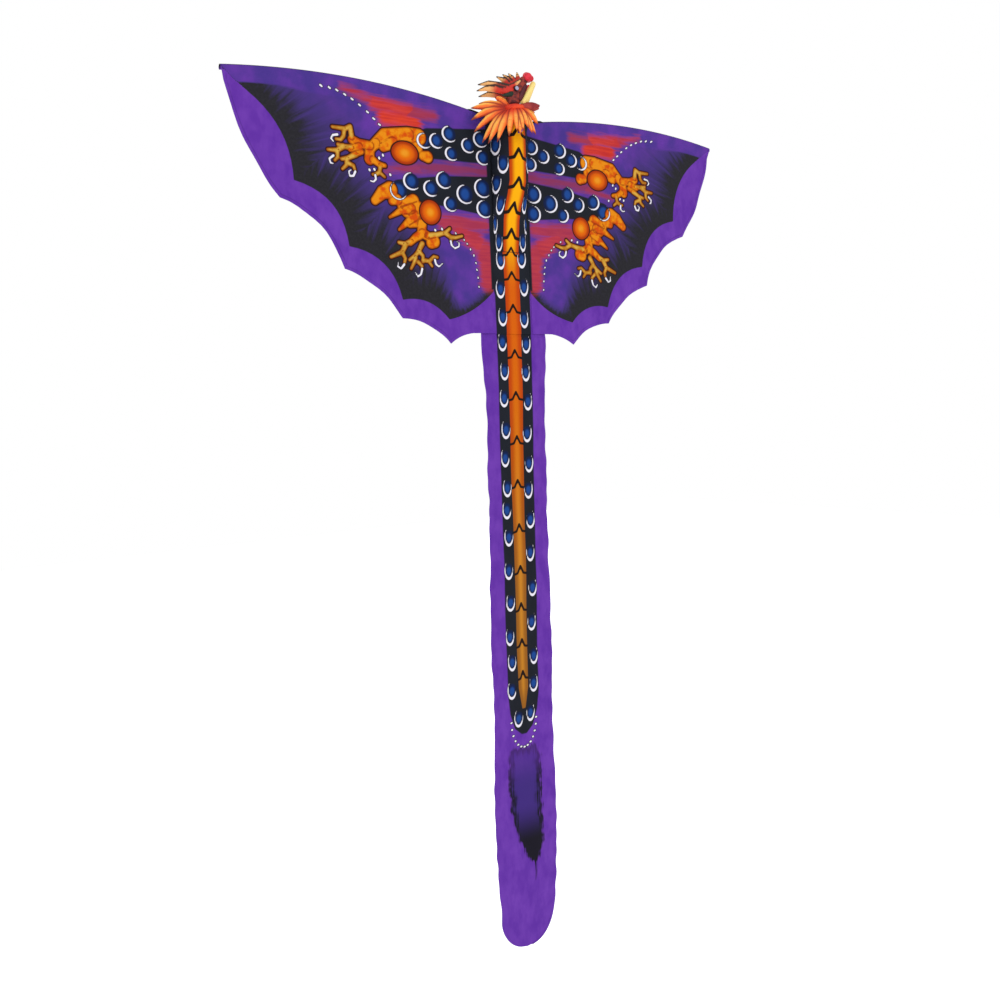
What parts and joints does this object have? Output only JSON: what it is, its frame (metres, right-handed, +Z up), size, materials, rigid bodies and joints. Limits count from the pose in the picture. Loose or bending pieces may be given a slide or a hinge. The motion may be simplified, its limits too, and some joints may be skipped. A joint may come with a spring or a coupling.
{
  "type": "dragon kite",
  "caption": "Dragon kite: painted bat-wing sail on bowed bamboo spars, stuffed neck with a modelled head and spiked ruff, and a long ribbon tail.",
  "frame": {"origin": "centre of the tow eyelet's bore at the throat, in front of the neck", "axes": "+X to the viewer's right along the wing span, +Y behind the kite, +Z up along the spine towards the head; the painted belly faces -Y"},
  "size_m": [1.1332, 0.1157, 1.755],
  "materials": {
    "sail_cloth": "painted woven nylon",
    "edge_cloth": "woven nylon sleeve and tabs",
    "bamboo": "split and rounded, dry",
    "vinyl_tube": "soft clear-grey vinyl",
    "black_cap": "moulded end cap",
    "lashing_cord": "waxed cotton cord",
    "brass": "rolled eyelet",
    "neck_cloth": "painted woven nylon over stuffing",
    "stuffing": "polyester wadding",
    "ruff_cloth": "painted cloth spikes",
    "head_foam": "carved foam, painted",
    "jaw_paint": "carved foam, painted pale yellow",
    "mouth_paint": "carved foam, painted maroon",
    "nose_paint": "glossy enamel on a bead",
    "eye_paint": "glossy enamel on a bead",
    "horn_cloth": "painted stiffened cloth",
    "crest_cloth": "painted stiffened cloth"
  },
  "bodies": {
    "frame": {"spine_stick": "bamboo", "spine_foot_cap": "black_cap", "spine_pocket": "edge_cloth", "centre_tube": "vinyl_tube", "spine_lashing": "lashing_cord", "chest_panel": "sail_cloth", "neck_cover": "neck_cloth", "neck_stuffing": "stuffing", "head_peg": "bamboo", "tow_tab": "edge_cloth", "tow_eyelet": "brass", "ruff_collar": "ruff_cloth", "ruff_spikes_left": "ruff_cloth", "ruff_spikes_right": "ruff_cloth", "ruff_spikes_throat": "ruff_cloth"},
    "left_wing": {"left_wing_panel": "sail_cloth", "left_edge_sleeve": "edge_cloth", "left_tube_end": "vinyl_tube"},
    "left_spar": {"left_spar": "bamboo", "left_spar_cap": "black_cap"},
    "right_wing": {"right_wing_panel": "sail_cloth", "right_edge_sleeve": "edge_cloth", "right_tube_end": "vinyl_tube"},
    "right_spar": {"right_spar": "bamboo", "right_spar_cap": "black_cap"},
    "head": {"skull": "head_foam", "snout": "head_foam", "lower_jaw": "jaw_paint", "mouth_lining": "mouth_paint", "tongue": "mouth_paint", "nose_ball": "nose_paint", "left_eye": "eye_paint", "right_eye": "eye_paint", "left_brow": "head_foam", "right_brow": "head_foam", "left_horn": "horn_cloth", "right_horn": "horn_cloth", "crest": "crest_cloth"},
    "tail_1": {"tail_1": "sail_cloth"},
    "tail_2": {"tail_2": "sail_cloth"},
    "tail_3": {"tail_3": "sail_cloth"},
    "tail_4": {"tail_4": "sail_cloth"},
    "tail_5": {"tail_5": "sail_cloth"},
    "tail_6": {"tail_6": "sail_cloth"},
    "tail_7": {"tail_7": "sail_cloth"}
  },
  "joints": [
    {"name": "left_wing_fold", "type": "hinge", "parent": "frame", "child": "left_wing", "pos_m": [-0.046, 0.056, 0.022], "axis": [0, 0, -1], "range_deg": [0, 85], "stiffness_Nm_per_rad": 0.6},
    {"name": "right_wing_fold", "type": "hinge", "parent": "frame", "child": "right_wing", "pos_m": [0.046, 0.056, 0.022], "axis": [0, 0, 1], "range_deg": [0, 85], "stiffness_Nm_per_rad": 0.6},
    {"name": "left_spar_draw", "type": "hinge", "parent": "left_wing", "child": "left_spar", "pos_m": [-0.345, 0.048, -1.548], "axis": [0, -1, 0], "range_deg": [0, 1.4]},
    {"name": "right_spar_draw", "type": "hinge", "parent": "right_wing", "child": "right_spar", "pos_m": [0.345, 0.048, -1.548], "axis": [0, 1, 0], "range_deg": [0, 1.4]},
    {"name": "head_turn", "type": "hinge", "parent": "frame", "child": "head", "pos_m": [0, 0.018, 0.06], "axis": [0, 0, 1], "range_deg": [-90, 40]},
    {"name": "tail_bend_1", "type": "hinge", "parent": "frame", "child": "tail_1", "pos_m": [0, 0.048, -0.386], "axis": [-1, 0, 0], "range_deg": [-20, 40]},
    {"name": "tail_bend_2", "type": "hinge", "parent": "tail_1", "child": "tail_2", "pos_m": [0, 0.048, -0.566], "axis": [-1, 0, 0], "range_deg": [-20, 40]},
    {"name": "tail_bend_3", "type": "hinge", "parent": "tail_2", "child": "tail_3", "pos_m": [0, 0.048, -0.746], "axis": [-1, 0, 0], "range_deg": [-20, 40]},
    {"name": "tail_bend_4", "type": "hinge", "parent": "tail_3", "child": "tail_4", "pos_m": [0, 0.048, -0.926], "axis": [-1, 0, 0], "range_deg": [-20, 40]},
    {"name": "tail_bend_5", "type": "hinge", "parent": "tail_4", "child": "tail_5", "pos_m": [0, 0.048, -1.106], "axis": [-1, 0, 0], "range_deg": [-20, 40]},
    {"name": "tail_bend_6", "type": "hinge", "parent": "tail_5", "child": "tail_6", "pos_m": [0, 0.048, -1.286], "axis": [-1, 0, 0], "range_deg": [-20, 40]},
    {"name": "tail_bend_7", "type": "hinge", "parent": "tail_6", "child": "tail_7", "pos_m": [0, 0.048, -1.466], "axis": [-1, 0, 0], "range_deg": [-20, 40]}
  ]
}
